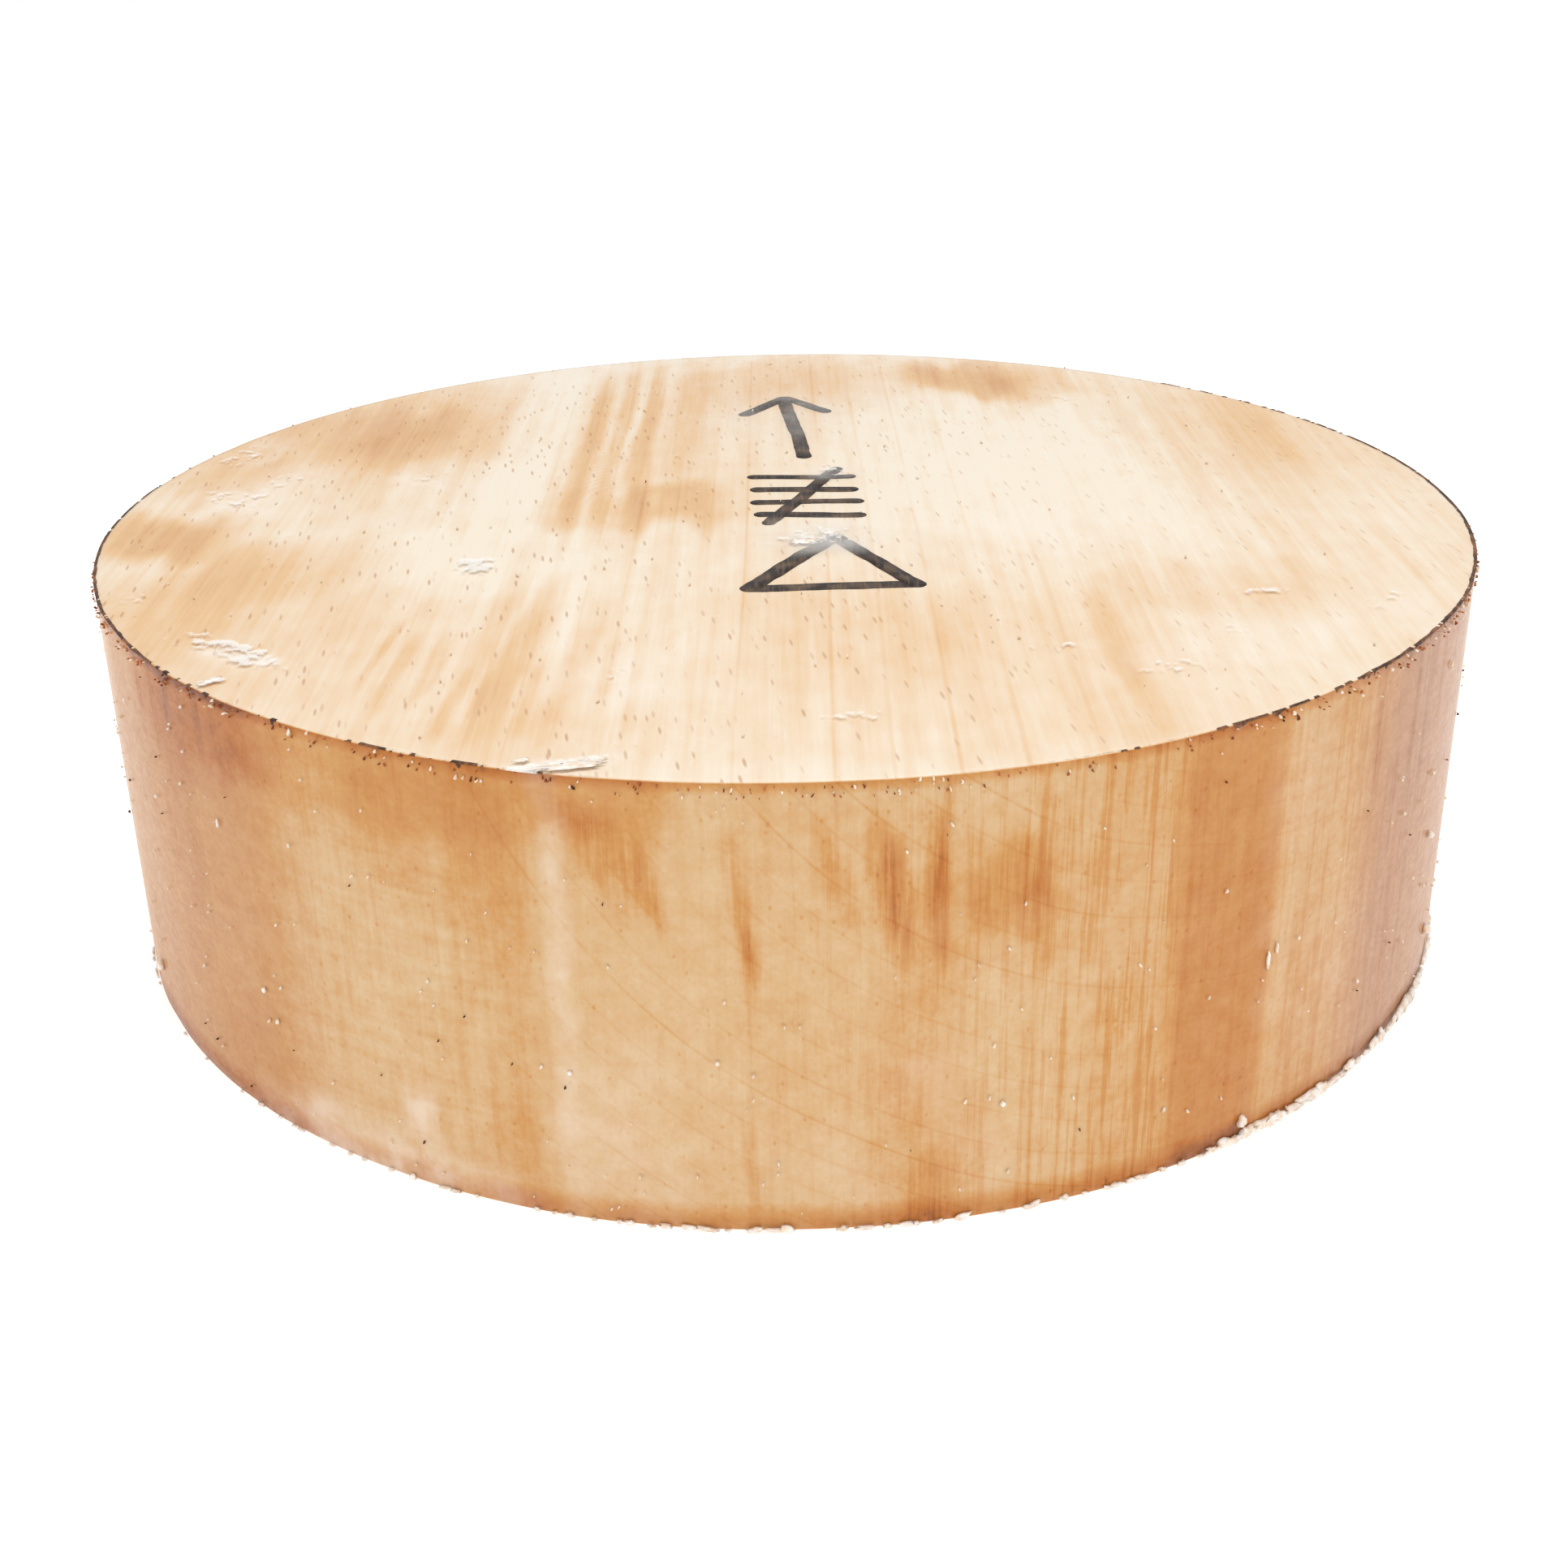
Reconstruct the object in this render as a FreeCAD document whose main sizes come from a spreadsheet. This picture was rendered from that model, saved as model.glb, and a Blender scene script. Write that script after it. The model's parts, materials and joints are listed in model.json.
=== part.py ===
import FreeCAD, Part
import math
import os
import Sketcher

# A bowl blank for the woodturning lathe: a round of beech cut out on the bandsaw and dipped in hot
# wax so that it doesn't dry and split. Its pieces are the wood, the skin of wax on its top, rim and
# underside, the wax that ran down and set as lumps round the foot and as beads on the rim, the ink
# that is left of the layout circle, and the ink of the marks drawn on the top with a felt pen.
#
# Millimetres. The origin is the centre of the underside, +Z is up, the grain of the wood runs
# along Y, and -Y is the front. An azimuth is in degrees from the front, growing towards +X.

# Driving dimensions, one spreadsheet cell each.
SIZES = {
    "wood_radius": "76.2",          # half of the 6 inch diameter
    "wood_thickness": "44.45",      # 1 3/4 inches
    "wax_thickness": "0.3",         # skin of wax all over
    "wax_edge_radius": "0.25",      # the skin's rounding at the two rims
    "ink_thickness": "0.05",        # ink lying on the wood, under the wax
    "pen_width": "2.0",             # width of a felt pen stroke
    "line_width": "0.8",            # mean width of what the saw left of the layout circle
    "lump_reach": "1.1",            # how far the largest foot lump stands out of the rim
    "lump_height": "2.0",           # how high the largest foot lump climbs
    "lump_lip": "0.15",             # thickness of a lump at its top
    "bead_radius": "0.9",           # radius of the largest bead on the rim
}

COAT_RADIUS = "(sizes.wood_radius + sizes.wax_thickness)"
WOOD_TOP = "(sizes.wax_thickness + sizes.wood_thickness)"

# Arcs of the top's edge where the layout circle's ink survived: first azimuth, last azimuth.
LINE_ARCS = [
    (-105.0, -20.0),
    (20.0, 150.0),
]

# Lumps round the front of the foot: first azimuth, arc, size against the largest.
FRONT_LUMPS = [
    (-62.0, 5.0, 0.45),
    (-50.0, 7.0, 0.40),
    (-38.0, 9.0, 0.65),
    (-24.0, 6.0, 0.40),
    (-11.0, 8.0, 0.45),
    (2.0, 6.0, 0.55),
    (13.0, 7.0, 0.50),
    (26.0, 6.0, 0.60),
    (35.0, 10.0, 0.95),
    (49.0, 12.0, 1.00),
    (66.0, 6.0, 0.70),
]

# The lumps go on round the back of the foot at an even pitch, in a few sizes.
BACK_LUMP_FIRST = 80.0
BACK_LUMP_LAST = 290.0
BACK_LUMP_PITCH = 15.0
BACK_LUMP_ARCS = (6.0, 9.0, 7.5)
BACK_LUMP_SIZES = (0.55, 0.85, 0.4, 0.7)

# Beads of wax on the rim: azimuth, height as a share of the thickness, size against the largest.
BEADS = [
    (34.0, 0.05, 1.0),
    (60.0, 0.45, 0.6),
    (64.0, 0.14, 0.75),
    (-63.0, 0.11, 0.7),
    (112.0, 0.30, 0.8),
    (158.0, 0.12, 1.0),
    (205.0, 0.52, 0.6),
    (251.0, 0.20, 0.9),
]

# Felt pen strokes on the top, each from a point to a point: a carpenter's triangle at the front,
# a tally of five in the middle, and an arrow along the grain at the back.
PEN_STROKES = [
    ((-3.5, -29.0), (13.5, -28.5)),
    ((13.5, -28.5), (5.5, -12.5)),
    ((5.5, -12.5), (-3.5, -29.0)),
    ((-2.5, -4.0), (8.5, -4.5)),
    ((-3.0, 1.0), (8.5, 0.5)),
    ((-3.0, 6.0), (8.0, 5.5)),
    ((-3.5, 11.0), (8.0, 11.0)),
    ((-1.5, -7.0), (6.5, 14.0)),
    ((2.5, 20.0), (0.5, 49.0)),
    ((0.5, 49.0), (-5.0, 41.0)),
    ((0.5, 49.0), (6.0, 42.0)),
]


def fill_sheet(doc):
    """The driving dimensions, under the names that the expressions use."""
    sheet = doc.addObject("Spreadsheet::Sheet", "sizes")
    for row, (alias, value) in enumerate(SIZES.items(), start=1):
        sheet.set(f"A{row}", alias)
        sheet.set(f"B{row}", value)
        sheet.setAlias(f"B{row}", alias)
    doc.recompute()


def add(doc, kind, name, **expressions):
    """An object of one kind, its sizes bound to expressions over the sheet."""
    item = doc.addObject(kind, name)
    for size, expression in expressions.items():
        item.setExpression(size, expression)
    return item


def turn_to(item, azimuth):
    """Turn a solid about the vertical axis, from +X to an azimuth measured from the front."""
    item.Placement = FreeCAD.Placement(
        FreeCAD.Vector(0, 0, 0),
        FreeCAD.Rotation(FreeCAD.Vector(0, 0, 1), azimuth - 90.0),
    )


def add_circle(sketch, radius):
    """A circle about the sketch's origin."""
    centre = FreeCAD.Vector(0, 0, 0)
    normal = FreeCAD.Vector(0, 0, 1)
    index = sketch.addGeometry(Part.Circle(centre, normal, 10.0), False)
    sketch.addConstraint(Sketcher.Constraint("Coincident", index, 3, -1, 1))
    rule = sketch.addConstraint(Sketcher.Constraint("Radius", index, 10.0))
    sketch.setExpression(f"Constraints[{rule}]", radius)


def round_plate(doc, name, radii, thickness, bottom):
    """A body with one disc, or one ring where there are two radii, standing on the height bottom."""
    body = doc.addObject("PartDesign::Body", name)
    sketch = body.newObject("Sketcher::SketchObject", f"{name}_outline")
    planes = [plane for plane in body.Origin.OriginFeatures if plane.Role == "XY_Plane"]
    sketch.AttachmentSupport = [(planes[0], "")]
    sketch.MapMode = "FlatFace"
    for radius in radii:
        add_circle(sketch, radius)
    pad = body.newObject("PartDesign::Pad", f"{name}_pad")
    pad.Profile = sketch
    pad.setExpression("Length", thickness)
    body.setExpression(".Placement.Base.z", bottom)
    doc.recompute()
    return body


def round_edge(doc, body, top):
    """Fillet the outer edge of a disc, at its top or at its bottom."""
    pad = body.Tip
    heights = [edge.CenterOfMass.z for edge in pad.Shape.Edges]
    wanted = max(heights) if top else min(heights)
    names = [
        f"Edge{number}"
        for number, edge in enumerate(pad.Shape.Edges, start=1)
        if abs(edge.CenterOfMass.z - wanted) < 1e-6 and edge.isClosed()
    ]
    fillet = body.newObject("PartDesign::Fillet", f"{body.Name}_edge")
    fillet.Base = (pad, names)
    fillet.setExpression("Radius", "sizes.wax_edge_radius")
    doc.recompute()
    return body


def make_beech_disc(doc):
    return round_plate(
        doc, "beech_disc", ["sizes.wood_radius"], "sizes.wood_thickness", "sizes.wax_thickness"
    )


def make_layout_line(doc):
    """Ink of one width along the edge of the wood, arc by arc."""
    arcs = []
    for number, (first, last) in enumerate(LINE_ARCS, start=1):
        sector = add(
            doc,
            "Part::Cylinder",
            f"line_sector_{number}",
            Radius="sizes.wood_radius",
            Height="sizes.ink_thickness",
        )
        sector.Angle = last - first
        turn_to(sector, first)
        sector.setExpression(".Placement.Base.z", WOOD_TOP)
        arcs.append(sector)
    sectors = doc.addObject("Part::MultiFuse", "line_sectors")
    sectors.Shapes = arcs
    inside = add(
        doc,
        "Part::Cylinder",
        "line_inside",
        Radius="sizes.wood_radius - sizes.line_width",
        Height="3 * sizes.ink_thickness",
    )
    inside.setExpression(".Placement.Base.z", f"{WOOD_TOP} - sizes.ink_thickness")
    line = doc.addObject("Part::Cut", "layout_line")
    line.Base = sectors
    line.Tool = inside
    return line


def make_stroke(doc, name, start, end):
    """One pen stroke: a thin bar with round ends, lying on the wood."""
    run = math.dist(start, end)
    heading = math.degrees(math.atan2(end[1] - start[1], end[0] - start[0]))
    bar = add(
        doc, "Part::Box", f"{name}_bar", Width="sizes.pen_width", Height="sizes.ink_thickness"
    )
    bar.Length = run
    across = math.radians(heading + 90.0)
    half = float(SIZES["pen_width"]) / 2.0
    corner = FreeCAD.Vector(
        start[0] - half * math.cos(across),
        start[1] - half * math.sin(across),
        0,
    )
    bar.Placement = FreeCAD.Placement(
        corner, FreeCAD.Rotation(FreeCAD.Vector(0, 0, 1), heading)
    )
    bar.setExpression(".Placement.Base.z", WOOD_TOP)
    pieces = [bar]
    for word, point in (("start", start), ("end", end)):
        cap = add(
            doc,
            "Part::Cylinder",
            f"{name}_{word}",
            Radius="sizes.pen_width / 2",
            Height="sizes.ink_thickness",
        )
        cap.Placement.Base = FreeCAD.Vector(point[0], point[1], 0)
        cap.setExpression(".Placement.Base.z", WOOD_TOP)
        pieces.append(cap)
    return pieces


def make_felt_pen_mark(doc):
    pieces = []
    for number, (start, end) in enumerate(PEN_STROKES, start=1):
        pieces += make_stroke(doc, f"stroke_{number}", start, end)
    mark = doc.addObject("Part::MultiFuse", "felt_pen_mark")
    mark.Shapes = pieces
    mark.Refine = True
    return mark


def make_wax_top_coat(doc, inks):
    """The skin over the top, out to the rim coat's outer face, with room for the ink beneath."""
    plate = round_plate(doc, "wax_top_plate", [COAT_RADIUS], "sizes.wax_thickness", WOOD_TOP)
    round_edge(doc, plate, top=True)
    ink = doc.addObject("Part::MultiFuse", "ink_under_wax")
    ink.Shapes = inks
    coat = doc.addObject("Part::Cut", "wax_top_coat")
    coat.Base = plate
    coat.Tool = ink
    return coat


def make_wax_rim_coat(doc):
    return round_plate(
        doc,
        "wax_rim_coat",
        ["sizes.wood_radius", COAT_RADIUS],
        "sizes.wood_thickness",
        "sizes.wax_thickness",
    )


def make_wax_base_coat(doc):
    plate = round_plate(doc, "wax_base_coat", [COAT_RADIUS], "sizes.wax_thickness", "0 mm")
    return round_edge(doc, plate, top=False)


def outside_the_rim(doc, name, pieces):
    """Join separate pieces and take away all that is inside the rim coat's outer face."""
    whole = doc.addObject("Part::MultiFuse", f"{name}_whole")
    whole.Shapes = pieces
    inside = add(
        doc,
        "Part::Cylinder",
        f"{name}_inside",
        Radius=COAT_RADIUS,
        Height=f"sizes.wax_thickness + {WOOD_TOP}",
    )
    trimmed = doc.addObject("Part::Cut", name)
    trimmed.Base = whole
    trimmed.Tool = inside
    return trimmed


def back_lumps():
    """First azimuth, arc and size of the lumps behind, in a repeating order of arcs and sizes."""
    count = int((BACK_LUMP_LAST - BACK_LUMP_FIRST) / BACK_LUMP_PITCH)
    return [
        (
            BACK_LUMP_FIRST + number * BACK_LUMP_PITCH,
            BACK_LUMP_ARCS[number % len(BACK_LUMP_ARCS)],
            BACK_LUMP_SIZES[number % len(BACK_LUMP_SIZES)],
        )
        for number in range(count)
    ]


def make_wax_foot_lumps(doc):
    """Arcs of a cone that is widest at the foot, standing out of the rim coat."""
    lumps = []
    for number, (first, arc, share) in enumerate(FRONT_LUMPS + back_lumps(), start=1):
        lump = add(
            doc,
            "Part::Cone",
            f"foot_lump_{number}",
            Radius1=f"{COAT_RADIUS} + {share} * sizes.lump_reach",
            Radius2=f"{COAT_RADIUS} + sizes.lump_lip",
            Height=f"{share} * sizes.lump_height",
        )
        lump.Angle = arc
        turn_to(lump, first)
        lumps.append(lump)
    return outside_the_rim(doc, "wax_foot_lumps", lumps)


def make_wax_rim_beads(doc):
    """Balls centred on the rim coat's outer face, so that half of each stands out."""
    outer = float(SIZES["wood_radius"]) + float(SIZES["wax_thickness"])
    beads = []
    for number, (azimuth, level, share) in enumerate(BEADS, start=1):
        bead = add(
            doc, "Part::Sphere", f"rim_bead_{number}", Radius=f"{share} * sizes.bead_radius"
        )
        angle = math.radians(azimuth)
        bead.Placement.Base = FreeCAD.Vector(
            outer * math.sin(angle), -outer * math.cos(angle), 0
        )
        bead.setExpression(".Placement.Base.z", f"{level} * sizes.wood_thickness")
        beads.append(bead)
    return outside_the_rim(doc, "wax_rim_beads", beads)


def check(doc, parts):
    """Stop before anything is written if an object failed or a sub-part isn't a sound solid."""
    for item in doc.Objects:
        bad = {"Invalid", "Error"} & set(item.State)
        if bad:
            raise RuntimeError(f"{item.Name}: {sorted(bad)}")
    for part in parts:
        shape = part.Shape
        if shape.isNull() or not shape.isValid() or not shape.Solids:
            raise RuntimeError(f"{part.Label}: no valid solid")
        print(f"{part.Label}: {len(shape.Solids)} solids, {shape.Volume:.2f} mm3")


def main():
    doc = FreeCAD.newDocument("bowl_blank")
    fill_sheet(doc)
    line = make_layout_line(doc)
    mark = make_felt_pen_mark(doc)
    parts = [
        make_beech_disc(doc),
        make_wax_top_coat(doc, [line, mark]),
        make_wax_rim_coat(doc),
        make_wax_base_coat(doc),
        make_wax_foot_lumps(doc),
        make_wax_rim_beads(doc),
        line,
        mark,
    ]
    doc.recompute()
    check(doc, parts)
    os.makedirs("parts", exist_ok=True)
    for part in parts:
        part.Shape.exportStep(f"parts/{part.Label}.step")


main()
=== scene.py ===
"""The looks of a wax-dipped beech bowl blank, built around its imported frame.

Lengths in the tables are millimetres in the part's frame: X to the right, Y along the grain and away
from the camera, Z up. An azimuth is in degrees round the rim from the front, growing towards +X.
"""

import json
import math

import bpy
import numpy as np
from mathutils import Matrix, Vector

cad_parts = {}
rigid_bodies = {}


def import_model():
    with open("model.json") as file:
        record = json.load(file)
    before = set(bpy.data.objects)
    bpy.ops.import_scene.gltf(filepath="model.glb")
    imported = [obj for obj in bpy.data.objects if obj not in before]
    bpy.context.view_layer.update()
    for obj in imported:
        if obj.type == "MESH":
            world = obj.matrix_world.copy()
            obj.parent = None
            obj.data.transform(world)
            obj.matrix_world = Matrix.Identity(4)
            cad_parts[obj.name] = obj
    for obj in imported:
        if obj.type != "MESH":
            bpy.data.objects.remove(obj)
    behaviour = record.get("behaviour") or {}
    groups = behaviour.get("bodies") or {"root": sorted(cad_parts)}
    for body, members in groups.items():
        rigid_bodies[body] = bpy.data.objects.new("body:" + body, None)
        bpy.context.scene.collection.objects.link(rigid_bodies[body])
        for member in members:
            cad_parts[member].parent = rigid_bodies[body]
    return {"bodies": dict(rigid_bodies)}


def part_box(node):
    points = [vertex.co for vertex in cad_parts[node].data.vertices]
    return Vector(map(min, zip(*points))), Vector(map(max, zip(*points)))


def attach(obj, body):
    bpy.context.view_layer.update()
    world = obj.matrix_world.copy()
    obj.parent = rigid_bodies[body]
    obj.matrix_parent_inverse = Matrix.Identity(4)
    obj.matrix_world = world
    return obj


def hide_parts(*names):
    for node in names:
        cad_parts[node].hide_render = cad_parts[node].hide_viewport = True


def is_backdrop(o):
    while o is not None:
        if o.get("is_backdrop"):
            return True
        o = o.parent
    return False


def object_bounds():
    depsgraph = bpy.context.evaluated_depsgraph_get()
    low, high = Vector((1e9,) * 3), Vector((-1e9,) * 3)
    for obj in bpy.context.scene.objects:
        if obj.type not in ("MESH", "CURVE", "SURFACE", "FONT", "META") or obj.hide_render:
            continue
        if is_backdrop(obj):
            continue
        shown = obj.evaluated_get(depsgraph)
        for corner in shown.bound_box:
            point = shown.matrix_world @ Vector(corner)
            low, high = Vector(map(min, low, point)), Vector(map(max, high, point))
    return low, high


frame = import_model()
CAD_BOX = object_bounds()
MM = 0.001
BODY = next(iter(frame["bodies"]))

# Sizes that come from the frame.
WOOD_LOW, WOOD_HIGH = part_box("beech_disc")
WOOD_RADIUS = (WOOD_HIGH[0] - WOOD_LOW[0]) / 2 / MM
WOOD_FOOT = WOOD_LOW[2] / MM
WOOD_TOP = WOOD_HIGH[2] / MM
COAT_LOW, COAT_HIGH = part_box("wax_top_coat")
COAT_RADIUS = (COAT_HIGH[0] - COAT_LOW[0]) / 2 / MM
COAT_TOP = COAT_HIGH[2] / MM

# The tree that the blank was cut from: its pith runs along Y, above and to the right of the blank.
PITH_X = 48.0
PITH_Z = 83.0
RING_SPACING = 3.4

# Stain in sound wood, and the part of the rim, in degrees, where marks are placed by chance.
PLAIN_STAIN = 0.16
BACK_FROM = 72
BACK_TO = 288

# Stains in the wood of the top face: centre x, centre y, half width, half length, turn, depth.
# A depth below zero is a pale place.
FACE_STAINS = [
    (-56, 38, 19, 21, 0, 0.40),
    (-46, 32, 9, 13, 6, 0.16),
    (-60, 50, 8, 5, 30, -0.12),
    (-66, 12, 6, 8, 20, 0.20),
    (-69, -9, 7, 8, 0, 0.47),
    (-62, -34, 9, 18, -25, 0.20),
    (-46, -44, 12, 14, 0, 0.14),
    (-53, -20, 10, 9, 20, 0.16),
    (-24.5, 28, 1.3, 37, 0, 0.38),
    (-21.2, 32, 1.0, 40, 0, 0.32),
    (-17.6, 30, 1.2, 39, 0, 0.38),
    (-12.5, 40, 2.6, 34, 0, 0.22),
    (-13, -1, 6, 8, 0, 0.40),
    (-24, 0, 4, 8, 0, 0.14),
    (2, 62, 12, 18, 0, 0.24),
    (26, 60, 8, 10, 0, 0.52),
    (36, 54, 6, 8, 0, 0.18),
    (61, 24, 13, 22, -8, 0.17),
    (44, -32, 12, 7, 6, 0.14),
    (2, -42, 12, 16, 0, 0.14),
    (20, -46, 14, 12, 0, 0.14),
    (61, 30, 4, 20, -4, 0.10),
    (31, -46, 1.6, 12, 0, 0.18),
    (-25, -46, 1.8, 17, -5, 0.34),
    (-20, -50, 1.4, 15, -4, 0.26),
    (-29, -40, 1.6, 12, -6, 0.20),
    (-38.5, -46, 0.6, 8, -4, 0.20),
    (-36, -52, 0.7, 9, -4, 0.22),
    (-33.5, -48, 0.6, 10, -4, 0.22),
    (-30.5, -56, 0.8, 9, -4, 0.22),
    (-27.5, -51, 0.6, 12, -4, 0.24),
    (-22.8, -56, 0.7, 10, -3, 0.22),
    (-17, -52, 0.7, 9, -3, 0.18),
    (-14, -57, 0.6, 8, 0, 0.16),
    (-32, 32, 4.5, 36, 0, -0.22),
    (28, 14, 18, 26, 0, -0.20),
    (-34, -18, 16, 10, 0, -0.12),
    (-6, -66, 40, 6, 0, 0.07),
]

# Stains in the wood of the rim: azimuth, height, half width in degrees, half height, depth.
RIM_STAINS = [
    (-52, 22, 15, 40, 0.40),
    (-50.5, 30, 2.6, 16, 0.12),
    (-48, 42, 8, 8, 0.20),
    (-34, 44, 18, 7.5, 0.29),
    (-24, 38.5, 7, 7.5, 0.13),
    (-18.5, 22, 1.3, 40, 0.04),
    (-20.5, 20, 3.4, 40, 0.05),
    (-20.0, 34, 2.6, 9, 0.10),
    (-19.4, 4, 2.4, 7, 0.12),
    (-12.5, 43.5, 4.5, 4.0, 0.30),
    (8, 14, 3, 16, 0.10),
    (14, 32, 6, 7, 0.14),
    (23.5, 22, 3.4, 40, 0.12),
    (31, 22, 4.4, 40, 0.56),
    (40, 10, 4, 12, 0.12),
    (42, 24, 5, 40, 0.14),
    (57, 22, 11, 40, 0.40),
    (0, -0.6, 400, 2.8, 0.55),
    (0, 45, 400, 0.75, 0.46),
]

# Pinker, greyer and darker places on the rim: the pink-grey tone is the wood's own, and the extra
# darkness on the sides is painted shade where the rim turns away from the light: azimuth, height, half
# width in degrees, half height, amount.
RIM_BLUSH_AND_SHADE = [
    (-54, 20, 17, 22, 0.30),
    (58, 22, 12, 40, 0.85),
    (42, 22, 5, 40, 0.12),
    (120, 20, 22, 40, 0.50),
    (-125, 25, 20, 40, 0.50),
]

# Where the rim shows the weave of two cuts of the saw: azimuth, height, half sizes, strength.
WEAVE = [
    (-29, 17, 8.5, 20, 1.0),
    (148, 20, 14, 24, 1.0),
    (-128, 28, 9, 18, 0.8),
]

# Brushed stains on the rim: azimuth and height at the top, then at the foot, half width, depth.
RIM_STREAKS = [
    (-14.5, 44, -8.6, 32, 2.4, 0.38),
    (-9.8, 41, -8.2, 30, 0.7, 0.26),
    (-12.6, 37, -10.6, 30, 0.8, 0.20),
    (-4.2, 42, -2.6, 24, 0.8, 0.34),
    (-3.6, 33, -2.4, 25, 0.5, 0.30),
    (-3.0, 13, -2.8, 2, 0.5, 0.26),
    (2.0, 41, 3.0, 31, 0.8, 0.34),
    (3.6, 37, 4.2, 30, 0.7, 0.20),
    (5.2, 42, 7.4, 26, 1.3, 0.62),
    (8.8, 42, 9.8, 25, 1.0, 0.48),
    (10.0, 45, 9.4, 33, 0.6, 0.40),
    (12.2, 38, 12.8, 29, 1.6, 0.34),
    (14.4, 40, 15.4, 27, 1.3, 0.36),
    (16.2, 38, 16.8, 30, 0.9, 0.20),
    (6.4, 19, 8.0, 9, 1.6, 0.22),
    (9.6, 10, 9.0, -4, 2.2, 0.34),
    (11.8, 15, 12.6, 4, 0.9, 0.14),
    (-43.5, 47, -43.6, 40, 0.3, 0.18),
    (-45.5, 47, -45.7, 37, 0.4, 0.22),
    (-47.8, 47, -48.0, 39, 0.3, 0.18),
    (-50.0, 47, -50.3, 36, 0.5, 0.20),
    (-52.6, 47, -52.8, 37, 0.4, 0.20),
    (-55.4, 47, -55.6, 35, 0.5, 0.22),
    (46.2, 45, 46.6, 30, 0.5, 0.30),
    (52.0, 47, 52.5, 28, 0.6, 0.30),
    (54.6, 47, 54.8, 24, 0.5, 0.30),
    (57.5, 47, 57.8, 32, 0.5, 0.22),
]

# Straight lines that the saw left right up the rim: azimuth, half width, depth.
SAW_MARKS = [
    (5.2, 0.14, 0.20),
    (-2.9, 0.12, 0.10),
    (9.1, 0.12, 0.14),
    (15.9, 0.16, 0.20),
    (18.4, 0.14, 0.18),
    (35.0, 0.12, 0.16),
    (-16.6, 0.12, 0.12),
]

# How strongly the saw's fine lines show round the rim: azimuth, strength.
COMB = [
    (-180, 0.20), (-110, 0.10), (-66, 0.04), (-38, 0.04), (-35, 0.08), (-18, 0.08), (-16, 0.02),
    (-2, 0.07), (10, 0.14), (17, 0.26), (26, 0.32), (27.5, 0.12), (34, 0.08), (36, 0.15),
    (46, 0.20), (60, 0.16), (120, 0.12), (180, 0.20),
]

# Strokes of the felt pen: from, to, width. They stand for the frame's plain felt_pen_mark.
PEN_STROKES = [
    ((-3.5, -29.0), (13.5, -28.5), 2.0),
    ((13.5, -28.5), (5.5, -12.5), 1.9),
    ((5.5, -12.5), (-3.5, -29.0), 2.1),
    ((-2.5, -4.0), (8.5, -4.5), 1.8),
    ((-3.0, 1.0), (8.5, 0.5), 1.7),
    ((-3.0, 6.0), (8.0, 5.5), 1.8),
    ((-3.5, 11.0), (8.0, 11.0), 1.6),
    ((-1.5, -7.0), (6.5, 14.0), 1.7),
    ((2.5, 20.0), (0.5, 49.0), 1.8),
    ((0.5, 49.0), (-5.0, 41.0), 1.8),
    ((0.5, 49.0), (6.0, 42.0), 1.7),
]

# What the saw left of the layout circle, on each side: azimuth, width, how unbroken it is.
EDGE_INK = {
    "left": [
        (-108, 0.1, 0.0), (-95, 0.2, 0.7), (-75, 0.28, 0.85), (-55, 0.26, 0.7), (-47, 0.28, 0.5),
        (-42, 0.2, 0.35), (-32, 0.2, 0.35), (-26, 0.25, 0.6), (-17, 0.25, 0.55), (-13, 0.1, 0.0),
    ],
    "right": [
        (17, 0.1, 0.3), (25, 0.15, 0.4), (31, 0.2, 0.55), (38, 0.2, 0.65), (50, 0.26, 0.75),
        (62, 0.32, 0.85), (78, 0.32, 0.9), (95, 0.3, 0.8), (125, 0.3, 0.6), (155, 0.1, 0.0),
    ],
}

# White crusts on the top: centre x, centre y, half width, half length, turn, how much is covered.
CRUSTS = [
    (-33, -21, 2.2, 3.0, 0, 0.75),
    (-64, 5, 4.5, 5.5, 20, 0.45),
    (-60, 13, 3.0, 4.0, 0, 0.45),
    (-68, 24, 2.5, 6.0, -15, 0.45),
    (-43, 13, 2.5, 5.0, 0, 0.40),
    (-53, -44, 7.0, 2.0, -32, 0.65),
    (-50, -48, 5.0, 1.2, -20, 0.60),
    (-53, -52.5, 1.8, 0.9, 40, 0.80),
    (-19.5, -72.2, 5.5, 1.1, 15, 0.75),
    (42, -43, 3.0, 1.6, 0, 0.45),
    (35, -53, 4.0, 2.2, 15, 0.50),
    (48, -33, 3.2, 1.6, 10, 0.50),
    (25, -47, 3.2, 1.6, 0, 0.45),
    (-16, -51, 5.0, 4.0, 0, 0.33),
    (-41, -26, 2.0, 2.0, 0, 0.45),
    (5, -63, 4.0, 1.4, 0, 0.45),
    (-8, -68, 14.0, 1.6, 3, 0.33),
    (38, 46, 3.5, 3.0, 0, 0.40),
    (3.5, -13, 5.0, 4.0, 25, 0.62),
    (6.5, 13, 2.4, 2.8, 0, 0.50),
    (60, -36, 5.0, 1.6, 40, 0.40),
    (-66, -30, 3.0, 3.0, 0, 0.38),
]

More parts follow.
